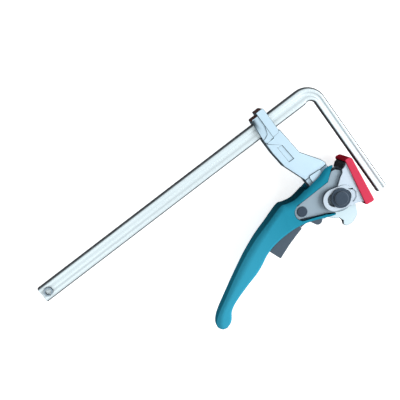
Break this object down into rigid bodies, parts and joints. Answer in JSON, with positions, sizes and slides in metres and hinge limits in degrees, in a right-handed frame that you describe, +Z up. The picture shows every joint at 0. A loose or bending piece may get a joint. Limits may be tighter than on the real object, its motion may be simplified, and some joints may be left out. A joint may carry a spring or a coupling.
{
  "type": "quick release bar clamp",
  "caption": "Bar clamp with a bent grooved steel rail, a sliding arm, a squeeze lever with ratchet and release trigger, and a soft capped pad.",
  "frame": {"origin": "middle of the fixed jaw's clamping face, on the clamp's mid plane", "axes": "the clamp lies on its side: +X is the way the jaws open, along the rail from the fixed jaw; +Y runs from the rail to the jaw tips; +Z is up, out of the side"},
  "size_m": [0.256, 0.1193, 0.0328],
  "materials": {
    "rail_steel": "bright zinc plated",
    "arm_steel": "satin plated",
    "dark_steel": "blackened",
    "spring_steel": "bare spring wire",
    "plate_steel": "phosphated grey",
    "holder_metal": "plated casting",
    "grip_plastic": "satin teal",
    "trigger_plastic": "satin dark slate",
    "cap_plastic": "satin red"
  },
  "bodies": {
    "rail": {"rail": "rail_steel", "rail_stop_pin": "dark_steel"},
    "slider": {"sliding_arm": "arm_steel", "ratchet_sector": "arm_steel", "sector_rivet": "dark_steel", "pivot_pin": "dark_steel", "pivot_washer": "dark_steel", "pivot_retaining_ring": "dark_steel", "lever_return_spring": "spring_steel"},
    "lever": {"lever_plate_front": "plate_steel", "lever_plate_rear": "plate_steel", "lever_grip": "grip_plastic", "trigger_pin": "dark_steel", "plate_spacer": "arm_steel", "plate_rivet": "dark_steel"},
    "trigger": {"trigger": "trigger_plastic", "pawl": "arm_steel", "trigger_spring": "spring_steel"},
    "pad": {"pad_holder": "holder_metal", "pad_cap": "cap_plastic"}
  },
  "joints": [
    {"name": "arm_slide", "type": "slide", "parent": "rail", "child": "slider", "axis": [1, 0, 0], "range_m": [0, 0.19]},
    {"name": "lever_turn", "type": "hinge", "parent": "slider", "child": "lever", "pos_m": [0.0274, 0, 0], "axis": [0, 0, -1], "range_deg": [-10, 10]},
    {"name": "pad_slide", "type": "slide", "parent": "slider", "child": "pad", "axis": [-0.9563, 0.2924, 0], "range_m": [-0.00305, 0.00305]},
    {"name": "trigger_turn", "type": "hinge", "parent": "lever", "child": "trigger", "pos_m": [0.0563, -0.0084, 0], "axis": [0, 0, -1], "range_deg": [0, 10], "stiffness_Nm_per_rad": 0.4, "springref_deg": -11.46}
  ],
  "couplings": [
    {"joint": "pad_slide", "follows": "lever_turn", "m_per_rad": 0.0172}
  ]
}
